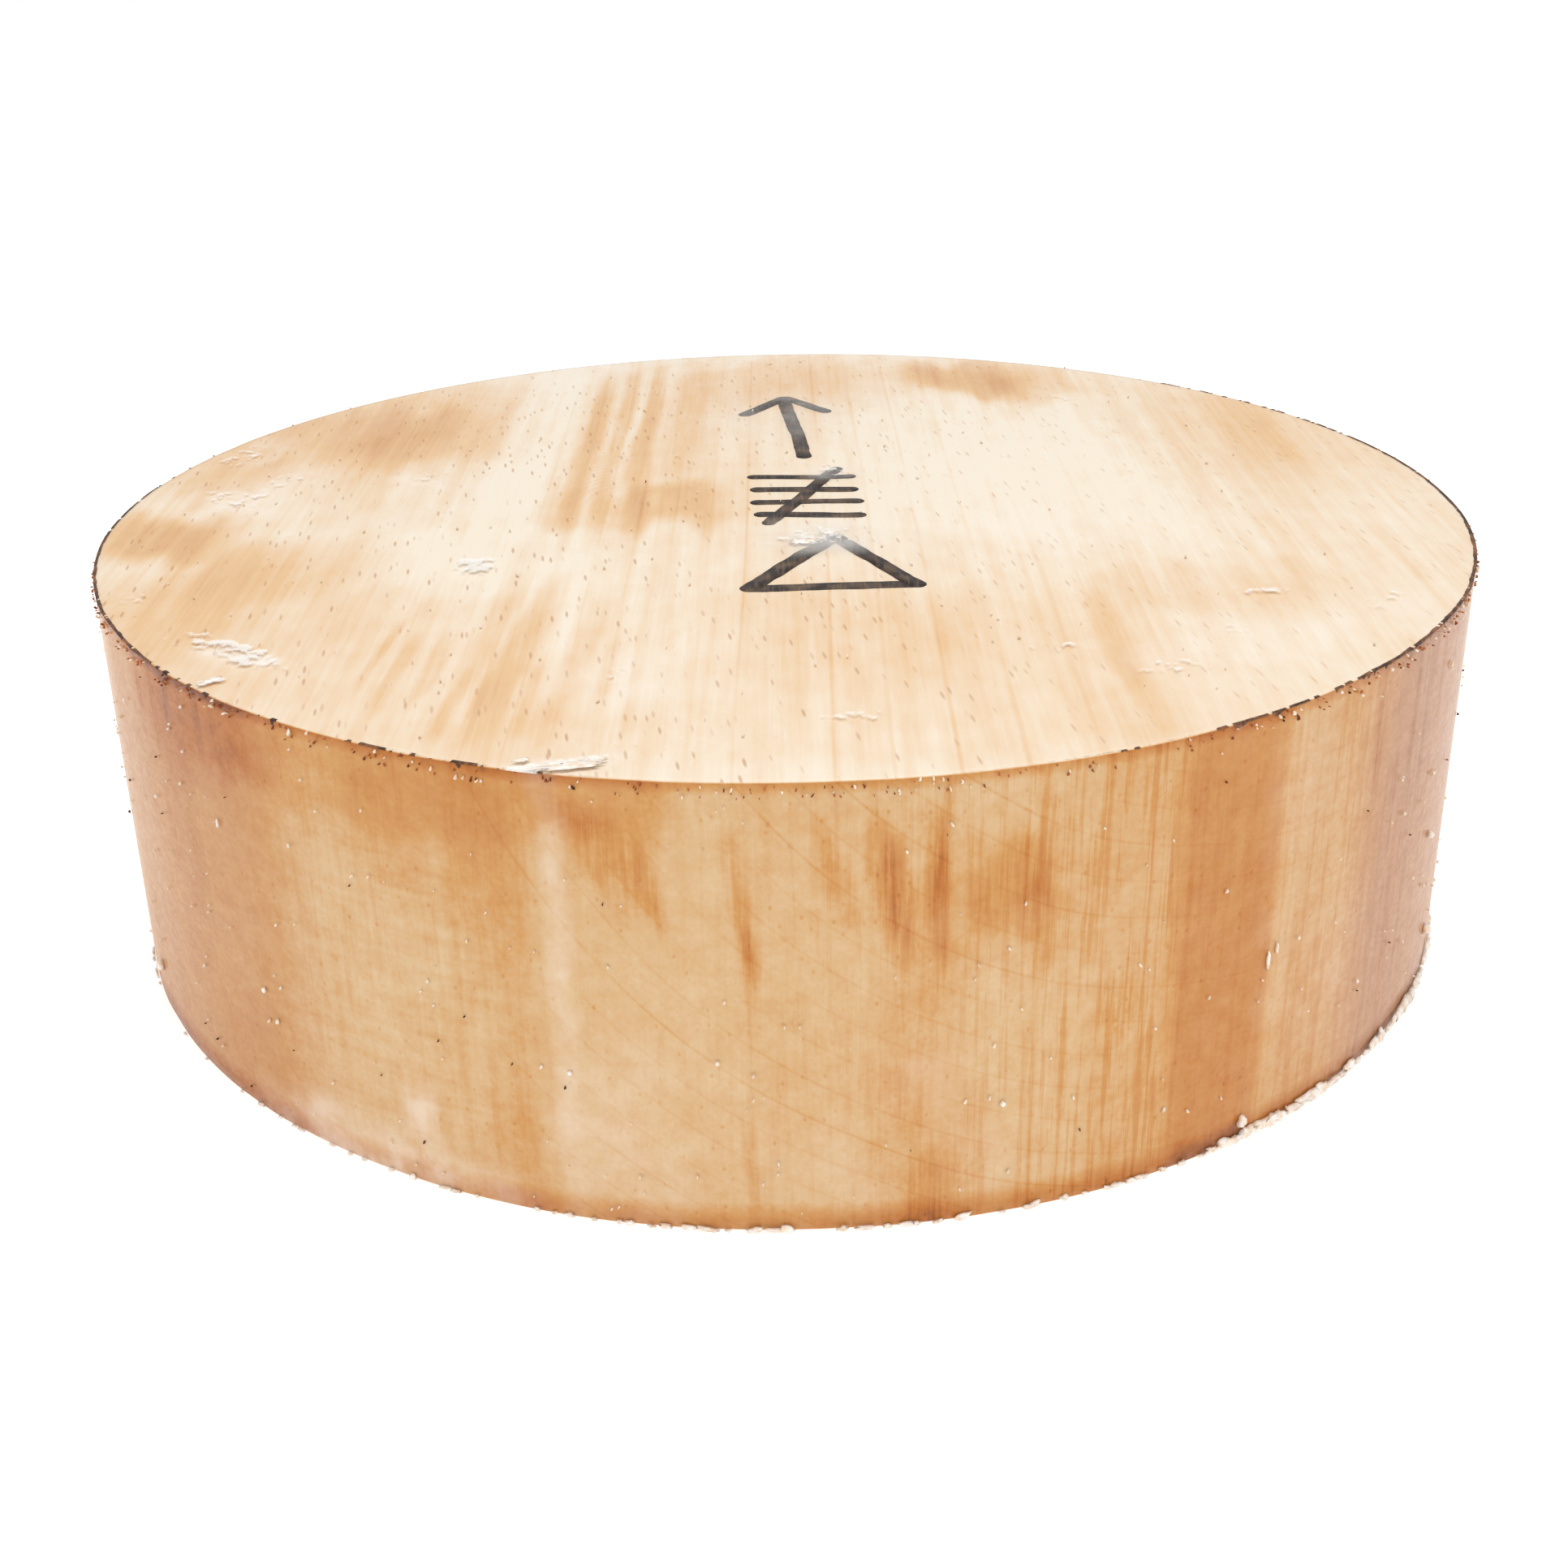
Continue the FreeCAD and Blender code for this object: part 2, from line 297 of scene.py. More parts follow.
# Milky places in the wax over the top: centre x, centre y, half width, half length, turn, amount.
FACE_HAZE = [
    (-64, 5, 5, 7, 15, 0.45),
    (-60, 14, 3, 5, 10, 0.30),
    (-43, 13, 3, 7, 0, 0.35),
    (-66, 26, 3, 8, -15, 0.30),
    (-48, -6, 8, 5, 20, 0.15),
    (-50, -48, 6, 2, -30, 0.35),
    (-15, -52, 6, 6, 0, 0.30),
    (30, -12, 12, 8, 0, 0.20),
    (60, -38, 8, 3, 40, 0.20),
    (40, -48, 12, 4, 15, 0.22),
    (-35, 50, 5, 24, -10, 0.15),
    (-33, -21, 1.6, 1.9, 0, 0.80),
    (-19.5, -72.2, 4.5, 0.9, 15, 0.60),
    (-53, -45.5, 4.0, 1.4, -34, 0.45),
]

# The same where the wax veils the marks of the pen.
PEN_HAZE = [
    (4, -13, 6, 5, 0, 0.45),
    (6, 12, 3, 3, 0, 0.30),
    (0, 42, 12, 16, 0, 0.16),
]

# Milky places in the wax over the rim: azimuth, height, half width in degrees, half height, amount.
RIM_HAZE = [
    (-34, 1, 7, 3.5, 0.36),
    (-24, 1, 5, 2.5, 0.22),
    (-27, 8, 1.2, 2.5, 0.34),
    (-15.4, 24, 0.8, 20, 0.16),
    (-15.0, 31, 0.6, 12, 0.10),
    (-13.5, 9, 2.8, 8, 0.10),
    (-9.5, 6, 3.0, 4, 0.10),
    (-11, 15, 2.2, 4, 0.07),
    (-4.5, 12, 3.0, 5, 0.05),
    (8.5, 15, 2.0, 4, 0.08),
    (12, 7, 2.5, 4, 0.08),
    (3.5, 6, 2.0, 4, 0.06),
    (37, 36, 2.5, 5, 0.10),
    (44, 14, 5, 7, 0.08),
    (36, 20, 1.5, 6, 0.08),
]

# Flakes of wax that stand proud of the top: centre x, centre y, half width, half length, turn.
FLAKES = [
    (-18.2, -72.6, 3.1, 0.65, 13),
    (-22.2, -71.4, 0.7, 0.45, 16),
    (-53, -52.5, 1.3, 0.4, 40),
    (2, -14.5, 1.4, 0.9, 20),
    (5, -11.5, 1.2, 0.7, -10),
]

# How much wax hangs round the foot: azimuth, size.
FOOT_WAX = [
    (-180, 0.8), (-120, 0.6), (-80, 0.4), (-60, 0.25), (-36, 0.25), (-28, 0.35), (-14, 0.3),
    (-4, 0.45), (8, 0.45), (14, 0.35), (26, 0.45), (33, 0.8), (41, 1.0), (48, 0.8), (55, 1.1),
    (64, 0.95), (80, 0.65), (110, 0.7), (180, 0.8),
]

# Beads and smears of wax on the rim: azimuth, height, half width, half height, how far out.
RIM_BEADS = [
    (34, 2.2, 0.5, 0.6, 0.4),
    (60, 20, 0.35, 0.45, 0.35),
    (64, 6.2, 0.6, 0.6, 0.5),
    (-63, 5, 0.5, 0.7, 0.4),
    (112, 13.3, 0.7, 0.9, 0.6),
    (158, 5.3, 0.8, 1.0, 0.7),
    (205, 23, 0.5, 0.8, 0.5),
    (251, 8.9, 0.8, 0.9, 0.6),
    (35.2, 19.4, 0.16, 1.0, 0.06),
    (36.0, 20.4, 0.12, 0.6, 0.06),
    (-41.5, 15, 0.22, 0.3, 0.1),
    (-44.5, 31.5, 0.1, 0.5, 0.04),
    (14, 12, 0.24, 0.3, 0.15),
    (-5, 18, 0.2, 0.2, 0.1),
    (-15, 15.8, 0.22, 0.22, 0.12),
]


def srgb(red, green, blue):
    """A colour picked on the usual 0 to 255 scale, as the shader's own linear numbers."""
    linear = [
        (level / 255 + 0.055) ** 2.4 / 1.055 ** 2.4 if level > 10 else level / 255 / 12.92
        for level in (red, green, blue)
    ]
    return (*linear, 1.0)


# ---------------- numbers for shapes and stains


def smooth_step(value, low, high):
    """0 below low, 1 above high, and a smooth rise between."""
    share = np.clip((value - low) / (high - low), 0, 1)
    return share * share * (3 - 2 * share)


def lattice_noise(points, size, seed):
    """A smooth field from -1 to 1, with features about `size` across, the same on each run."""
    count = 32
    lattice = np.random.default_rng(seed).uniform(-1, 1, (count, count, count))
    where = np.asarray(points, float) / size
    cell = np.floor(where).astype(int)
    share = where - cell
    share = share * share * (3 - 2 * share)
    total = np.zeros(len(where))
    for corner in np.ndindex(2, 2, 2):
        weight = np.prod(np.where(corner, share, 1 - share), axis=1)
        index = (cell + corner) % count
        total += weight * lattice[index[:, 0], index[:, 1], index[:, 2]]
    return total


def cloud_noise(points, size, seed, octaves=3):
    """Lattice noise with finer copies of itself on top."""
    total = np.zeros(len(points))
    for octave in range(octaves):
        total += lattice_noise(points, size / 2**octave, seed + octave) / 2**octave
    return total / (2 - 2 ** (1 - octaves))


def azimuth_of(points):
    """Degrees round the rim from the front, -180 to 180."""
    return np.degrees(np.arctan2(points[:, 0], -points[:, 1]))


def turned_round(points):
    """The points half a turn round the axis, so that the underside gets marks of its own."""
    return points * (-1, -1, 1)


def patch(across, along, soft):
    """1 inside a boxy oval of half sizes 1 and 1, fading to 0 over the share `soft` round it."""
    reach = (np.abs(across) ** 3 + np.abs(along) ** 3) ** (1 / 3)
    return 1 - smooth_step(reach, 1 - soft, 1 + soft)


def turned_patch(across, along, oval, soft):
    """A patch on a flat face: centre x, centre y, half width, half length, turn in degrees."""
    x, y, half_x, half_y, turn = oval
    angle = math.radians(turn)
    dx = across - x
    dy = along - y
    u = (dx * math.cos(angle) + dy * math.sin(angle)) / half_x
    v = (dy * math.cos(angle) - dx * math.sin(angle)) / half_y
    return patch(u, v, soft)


def streak(azimuth, height, first, top, last, low, half_width, depth):
    """A soft brush stroke down the rim that leans from one azimuth to another and fades out."""
    share = (top - height) / (top - low)
    middle = first + (last - first) * np.clip(share, 0, 1)
    reach = half_width * (0.55 + 0.45 * np.sin(np.pi * np.clip(share, 0, 1)))
    ends = smooth_step(share, -0.1, 0.35) * (1 - smooth_step(share, 0.65, 1.1))
    return depth * ends * (1 - smooth_step(np.abs(azimuth - middle) / reach, 0.1, 1.5))


def chance_streaks(count, seed):
    """More brush strokes of the same kind, for the sides and the back."""
    random = np.random.default_rng(seed)
    strokes = []
    for _ in range(count):
        azimuth = random.uniform(BACK_FROM, BACK_TO)
        top = random.uniform(12, 46)
        length = random.uniform(5, 16)
        lean = random.uniform(-1, 2)
        width = random.uniform(0.5, 1.6)
        strokes.append(
            (azimuth, top, azimuth + lean, top - length, width, random.uniform(0.15, 0.5))
        )
    return strokes


def face_stain(points, narrowest=0):
    """How deeply a flat face is stained, by stains no narrower than given: 1 is caramel."""
    drift = 1.5
    across = points[:, 0] + drift * cloud_noise(points * (1, 0.3, 1), 8, 10)
    along = points[:, 1] + 5 * drift * cloud_noise(points * (1, 0.25, 1), 4, 20, 3)
    depth = PLAIN_STAIN + 0.12 * cloud_noise(points * (1, 0.22, 1), 7, 30)
    depth += 0.10 * cloud_noise(points, 34, 40)
    for *oval, amount in FACE_STAINS:
        half_size = min(oval[2:4])
        if half_size >= narrowest:
            soft = 0.75 if half_size > 10 else 0.45
            depth += amount * turned_patch(across, along, oval, soft)
    return depth


def rim_stain(points):
    """How deeply the rim is stained: placed one by one at the front, and by chance at the back."""
    azimuth = azimuth_of(points)
    height = points[:, 2]
    bend = azimuth + 0.7 * cloud_noise(points * (1, 1, 0.35), 9, 50)
    depth = PLAIN_STAIN + 0.10 * cloud_noise(points * (1, 1, 0.3), 6, 60)
    for centre, level, half_width, half_height, amount in RIM_STAINS:
        lift = 2.0 * cloud_noise(points, 6, 70) if half_height > 3 else 0
        u = (bend - centre) / half_width
        v = (height - level + lift) / half_height
        depth += amount * patch(u, v, 0.30)
    for centre, half_width, amount in SAW_MARKS:
        depth += amount * (1 - smooth_step(np.abs(azimuth - centre) / half_width, 0.2, 2.0))
    chance = 0.45 + 0.55 * cloud_noise(points * (1, 1, 0.12), 26, 80)
    behind = smooth_step(np.abs(azimuth), BACK_FROM - 8, BACK_FROM + 4)
    return depth * (1 - behind) + behind * (chance + 0.4 * (depth - PLAIN_STAIN))


def rim_streaks(points):
    """How strongly the brush strokes show on the rim."""
    azimuth = azimuth_of(points) + 0.5 * cloud_noise(points * (1, 1, 0.5), 5, 85)
    height = points[:, 2] + 1.5 * cloud_noise(points * (1, 1, 0.2), 2.5, 88)
    depth = np.zeros(len(points))
    for stroke in RIM_STREAKS:
        depth += streak(azimuth, height, *stroke)
    round_trip = np.where(azimuth < 0, azimuth + 360, azimuth)
    for stroke in chance_streaks(90, 95):
        depth += streak(round_trip, height, *stroke)
    return depth


def rim_zones(points, zones):
    """A number from 0 to 1 that is high in each zone: azimuth, height, half sizes, amount."""
    azimuth = azimuth_of(points) + 0.7 * cloud_noise(points * (1, 1, 0.35), 9, 50)
    amount = np.zeros(len(points))
    for centre, level, half_width, half_height, strength in zones:
        u = (azimuth - centre) / half_width
        amount += strength * patch(u, (points[:, 2] - level) / half_height, 0.35)
    return np.clip(amount, 0, 1)


# ---------------- meshes


def disc_grid(count):
    """A square grid bent onto a disc of radius 1 with even cells (Shirley and Chiu's map).

    Gives its points, its faces, and its edge's point numbers, in order round the disc.
    """
    line = np.linspace(-1, 1, count + 1)
    u, v = np.meshgrid(line, line, indexing="ij")
    wide = np.abs(u) > np.abs(v)
    radius = np.where(wide, u, v)
    near_zero = np.where(radius == 0, 1, radius)
    angle = np.where(wide, np.pi / 4 * v / near_zero, np.pi / 2 - np.pi / 4 * u / near_zero)
    points = np.column_stack([(radius * np.cos(angle)).ravel(), (radius * np.sin(angle)).ravel()])
    number = np.arange((count + 1) ** 2).reshape(count + 1, count + 1)
    faces = np.stack(
        [number[:-1, :-1], number[1:, :-1], number[1:, 1:], number[:-1, 1:]], axis=-1
    ).reshape(-1, 4)
    edge = np.concatenate(
        [number[:-1, 0], number[-1, :-1], number[:0:-1, -1], number[0, :0:-1]]
    )
    return points, faces, edge


def out_of_round(points):
    """The saw's small wander, in millimetres of radius."""
    azimuth = np.radians(azimuth_of(points))
    ring = np.column_stack([np.sin(azimuth), np.cos(azimuth), np.zeros(len(azimuth))])
    return 0.12 * lattice_noise(ring * 3, 1, 90) + 0.05 * lattice_noise(ring * 16, 1, 91)


def turned_solid(name, profile, cells, shape_points=None, upside_down=False):
    """A closed solid of revolution whose flat top is an even grid.

    The profile runs from the top's edge down the outside and in to the axis: radius, height. With
    upside_down it runs from the underside's edge up and in, and the underside is the grid.
    """
    flat, faces, edge = disc_grid(cells)
    top_radius, top_height = profile[0]
    points = [np.column_stack([flat * top_radius, np.full(len(flat), top_height)])]
    around = flat[edge] / np.linalg.norm(flat[edge], axis=1)[:, None]
    loop = edge
    rings = [faces]
    start = len(flat)
    following = np.roll(np.arange(len(edge)), -1)
    for radius, height in profile[1:-1]:
        points.append(np.column_stack([around * radius, np.full(len(edge), height)]))
        lower = start + np.arange(len(edge))
        rings.append(np.column_stack([loop, lower, lower[following], loop[following]]))
        loop = lower
        start += len(edge)
    points.append(np.array([[0.0, 0.0, profile[-1][1]]]))
    points = np.concatenate(points)
    faces = np.concatenate(rings).tolist()
    faces += [(loop[k], start, loop[following[k]]) for k in range(len(edge))]
    if upside_down:
        faces = [face[::-1] for face in faces]
    if shape_points:
        points = shape_points(points)
    return add_mesh(name, points, faces), points


def loft(name, loops, closed=False):
    """A solid through closed loops of points, one after another: loops, points in each, 3."""
    count, size = loops.shape[:2]
    number = np.arange(count * size).reshape(count, size)
    ahead = np.roll(number, -1, axis=0)
    faces = np.stack(
        [number, ahead, np.roll(ahead, -1, axis=1), np.roll(number, -1, axis=1)], axis=-1
    )
    if not closed:
        faces = faces[:-1]
    faces = faces.reshape(-1, 4).tolist()
    if not closed:
        faces += [number[0].tolist(), number[-1, ::-1].tolist()]
    return add_mesh(name, loops.reshape(-1, 3), faces)


def rim_points(azimuth, radius, height):
    """Points in space from degrees round the rim, a radius and a height."""
    angle = np.radians(azimuth)
    return np.stack(
        np.broadcast_arrays(radius * np.sin(angle), -radius * np.cos(angle), height), axis=-1
    )


def turned_ring(name, outline, columns):
    """A closed ring: an outline of radius and height, anticlockwise seen with +Z up, turned round."""
    azimuth = np.linspace(0, 360, columns, endpoint=False)
    radius, height = np.array(outline).T
    loops = rim_points(azimuth[:, None], radius[None, :], height[None, :])
    return loft(name, loops, closed=True), loops.reshape(-1, 3)


class Blobs:
    """Gathers small irregular domes of wax or dust into one mesh."""

    def __init__(self, seed):
        self.random = np.random.default_rng(seed)
        self.points = []
        self.faces = []
        self.start = 0

    def dome(self, half_u, half_v, height, turn=0.0, rings=5, columns=18, rough=0.3, steep=0.5, sink=0.2):
        """A dome about its own centre: across, along and out of the surface it sits on.

        With steep at 0.5 it is round, and with steep at 1 its sides slope gently.
        """
        shape = self.random.uniform(-1, 1, (rings + 1, columns))
        shape = (shape + np.roll(shape, 1, axis=1) + np.roll(shape, 1, axis=0)) / 2
        around = np.linspace(0, 2 * np.pi, columns, endpoint=False)
        share = np.linspace(1, 0, rings + 1)[:-1, None]
        reach = share * (1 + rough * shape[:rings] * share)
        u = half_u * reach * np.cos(around)
        v = half_v * reach * np.sin(around)
        lift = height * (1 - share**2 * 0.999) ** steep * (1 + rough * shape[1:])
        lift[0] = -sink
        cos, sin = math.cos(math.radians(turn)), math.sin(math.radians(turn))
        points = np.column_stack(
            [(u * cos - v * sin).ravel(), (u * sin + v * cos).ravel(), lift.ravel()]
        )
        return np.vstack([points, [0, 0, height], [0, 0, -sink]]), rings, columns

    def add(self, dome, place):
        """Put a dome where the function `place` takes its points."""
        points, rings, columns = dome
        number = self.start + np.arange(rings * columns).reshape(rings, columns)
        ahead = np.roll(number, -1, axis=1)
        quads = np.stack([number[:-1], ahead[:-1], ahead[1:], number[1:]], axis=-1)
        self.faces += quads.reshape(-1, 4).tolist()
        crown = self.start + rings * columns
        for column in range(columns):
            self.faces.append((number[-1, column], ahead[-1, column], crown))
            self.faces.append((ahead[0, column], number[0, column], crown + 1))
        self.points.append(place(points))
        self.start += len(points)

    def on_top(self, x, y, dome):
        """Put a dome on the top of the skin of wax."""
        self.add(dome, lambda p: p + np.array([x, y, COAT_TOP]))

    def on_rim(self, azimuth, height, dome):
        """Put a dome on the rim of the skin of wax, bent round it."""

        def wrap(p):
            turn = azimuth + np.degrees(p[:, 0] / COAT_RADIUS)
            level = np.clip(height + p[:, 1], 0.02, None)
            return rim_points(turn, COAT_RADIUS + p[:, 2], level)

        self.add(dome, wrap)

    def make(self, name, material, replaced=None):
        """Make the mesh of all the domes so far."""
        piece = add_mesh(name, np.concatenate(self.points), self.faces)
        dress(piece, material, replaced)


def add_mesh(name, points, faces):
    """A smooth mesh object from points in millimetres."""
    mesh = bpy.data.meshes.new(name)
    mesh.from_pydata((np.asarray(points) * MM).tolist(), [], [list(map(int, f)) for f in faces])
    mesh.validate()
    mesh.shade_smooth()
    piece = bpy.data.objects.new(name, mesh)
    bpy.context.collection.objects.link(piece)
    return piece


def dress(piece, material, replaced=None):
    """Give a piece its material, hide the frame's part that it replaces, if any, and hang it on the
    frame's body.
    """
    piece.data.materials.append(material)
    if replaced:
        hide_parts(replaced)
    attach(piece, BODY)


def add_layer(piece, name, values):
    """Keep one number for each point of a mesh, for the shader to read."""
    layer = piece.data.attributes.new(name, "FLOAT", "POINT")
    layer.data.foreach_set("value", np.asarray(values, np.float32))


# ---------------- shader nodes


class Nodes:
    """Adds and joins the nodes of one material, around its Principled shader."""

    def __init__(self, name):
        self.material = bpy.data.materials.new(name)
        self.material.use_nodes = True
        self.tree = self.material.node_tree
        self.shader = self.tree.nodes["Principled BSDF"]

    def put(self, socket, value):
        """Join a socket to another one, or set its number or colour."""
        if isinstance(value, bpy.types.NodeSocket):
            self.tree.links.new(value, socket)
        else:
            socket.default_value = value

    def add(self, kind, inputs=(), output=0, **settings):
        """A node of one kind with its inputs and settings, given as one of its outputs."""
        node = self.tree.nodes.new(kind)
        for key, value in settings.items():
            setattr(node, key, value)
        for key, value in dict(inputs).items():
            self.put(node.inputs[key], value)
        return node.outputs[output]

    def maths(self, operation, *values):
        return self.add("ShaderNodeMath", dict(enumerate(values)), operation=operation)

    def layer(self, name):
        """One of the numbers kept for each point of the mesh."""
        return self.add("ShaderNodeAttribute", output="Fac", attribute_name=name)

    def place(self, x=1.0, y=1.0, z=1.0):
        """The point on the blank in millimetres, each axis divided by a size."""
        where = self.add("ShaderNodeTexCoord", output="Object")
        scale = (1 / MM / x, 1 / MM / y, 1 / MM / z)
        return self.add("ShaderNodeVectorMath", {0: where, 1: scale}, operation="MULTIPLY")

    def noise(self, vector, detail=2.0, roughness=0.5):
        sockets = {"Vector": vector, "Scale": 1.0, "Detail": detail, "Roughness": roughness}
        return self.add("ShaderNodeTexNoise", sockets, output="Fac")

    def ramp(self, value, low, high, start=0.0, end=1.0):
        """A smooth change from start to end as the value goes from low to high."""
        sockets = {"Value": value, 1: low, 2: high, 3: start, 4: end}
        return self.add("ShaderNodeMapRange", sockets, interpolation_type="SMOOTHSTEP")

    def blend(self, share, first, second):
        sockets = {"Factor": share, 6: first, 7: second}
        return self.add("ShaderNodeMix", sockets, output=2, data_type="RGBA")

    def palette(self, value, *colours):
        """Go through colours one after another as the value grows, one unit for each step."""
        shown = colours[0]
        for number, colour in enumerate(colours[1:]):
            share = self.add("ShaderNodeMapRange", {"Value": value, 1: number, 2: number + 1})
            shown = self.blend(share, shown, colour)
        return shown

    def finish(self, colour, roughness, bump=None, bump_depth=0.0, **constants):
        """Join the shader's colour, roughness and bump (depth in mm), and set its constants."""
        self.put(self.shader.inputs["Base Color"], colour)
        self.put(self.shader.inputs["Roughness"], roughness)
        if bump is not None:
            normal = self.add(
                "ShaderNodeBump",
                {"Height": bump, "Distance": bump_depth * MM, "Strength": 1.0},
            )
            self.put(self.shader.inputs["Normal"], normal)
        for socket, value in constants.items():
            self.put(self.shader.inputs[socket.replace("_", " ")], value)
        return self.material


def centred(n, value, amount):
    """A noise about its middle, times an amount."""
    return n.maths("MULTIPLY", n.maths("SUBTRACT", value, 0.5), amount)


def chain(n, operation, *values):
    """All the values added up or multiplied, one after another."""
    result = values[0]
    for value in values[1:]:
        result = n.maths(operation, result, value)
    return result


def growth_rings(n, place):
    """Thin dark lines round the pith, each of its own strength, broken, and paler to each side."""
    apart = n.add(
        "ShaderNodeVectorMath", {0: place, 1: (-PITH_X, 0, -PITH_Z)}, operation="ADD"
    )
    flat = n.add("ShaderNodeVectorMath", {0: apart, 1: (1, 0, 1)}, operation="MULTIPLY")
    from_pith = n.add("ShaderNodeVectorMath", {0: flat}, output="Value", operation="LENGTH")
    wander = n.noise(n.place(40, 200, 40), detail=1)
    turns = n.maths("ADD", n.maths("DIVIDE", from_pith, RING_SPACING), wander)
    middle = n.maths("ABSOLUTE", n.maths("SUBTRACT", n.maths("FRACT", turns), 0.5))
    line = n.ramp(middle, 0.012, 0.06, 1.0, 0.0)
    chance = n.add(
        "ShaderNodeTexWhiteNoise", {"W": n.maths("FLOOR", turns)}, noise_dimensions="1D"
    )
    strength = n.ramp(chance, 0.0, 1.0, 0.45, 1.0)
    broken = n.ramp(n.noise(n.place(9, 50, 9), detail=3), 0.34, 0.56, 0.25, 1.0)
    across = n.add("ShaderNodeSeparateXYZ", {0: place})
    faded = n.ramp(n.maths("ABSOLUTE", across), 14.0, 36.0, 1.0, 0.4)
    return chain(n, "MULTIPLY", line, strength, broken, faded)


def ray_flecks(n):
    """Short brown dashes that lean a little from the grain."""
    leaning = n.add(
        "ShaderNodeVectorRotate",
        {"Vector": n.place(), "Angle": math.radians(-8)},
        rotation_type="Z_AXIS",
    )
    cells = n.add(
        "ShaderNodeVectorMath", {0: leaning, 1: (1 / 0.8, 1 / 4.8, 1 / 1.6)}, operation="MULTIPLY"
    )
    spot = n.add("ShaderNodeTexVoronoi", {"Vector": cells, "Scale": 1.0})
    lot = n.add("ShaderNodeTexVoronoi", {"Vector": cells, "Scale": 1.0}, output="Color")
    chosen = n.ramp(n.add("ShaderNodeSeparateColor", {0: lot}), 0.15, 0.85, 0.0, 1.0)
    return n.maths("MULTIPLY", n.ramp(spot, 0.10, 0.27, 1.0, 0.0), chosen)


def end_grain_pores(n):
    """Fine brown dots, where the rim cuts across the grain."""
    cells = n.place(0.9, 3.0, 1.3)
    spot = n.add("ShaderNodeTexVoronoi", {"Vector": cells, "Scale": 1.0})
    lot = n.add("ShaderNodeTexVoronoi", {"Vector": cells, "Scale": 1.0}, output="Color")
    chosen = n.ramp(n.add("ShaderNodeSeparateColor", {0: lot}), 0.45, 0.95, 0.0, 1.0)
    return n.maths("MULTIPLY", n.ramp(spot, 0.10, 0.24, 1.0, 0.0), chosen)


def round_the_rim(n, place, along, up):
    """A place to read a noise at: the way round the rim and the height, each over a size."""
    split = n.tree.nodes.new("ShaderNodeSeparateXYZ")
    n.put(split.inputs[0], place)
    angle = n.maths("ARCTAN2", split.outputs[0], n.maths("MULTIPLY", split.outputs[1], -1.0))
    return n.add(
        "ShaderNodeCombineXYZ",
        {
            0: n.maths("MULTIPLY", angle, WOOD_RADIUS / along),
            1: n.maths("DIVIDE", split.outputs[2], up),
        },
    )




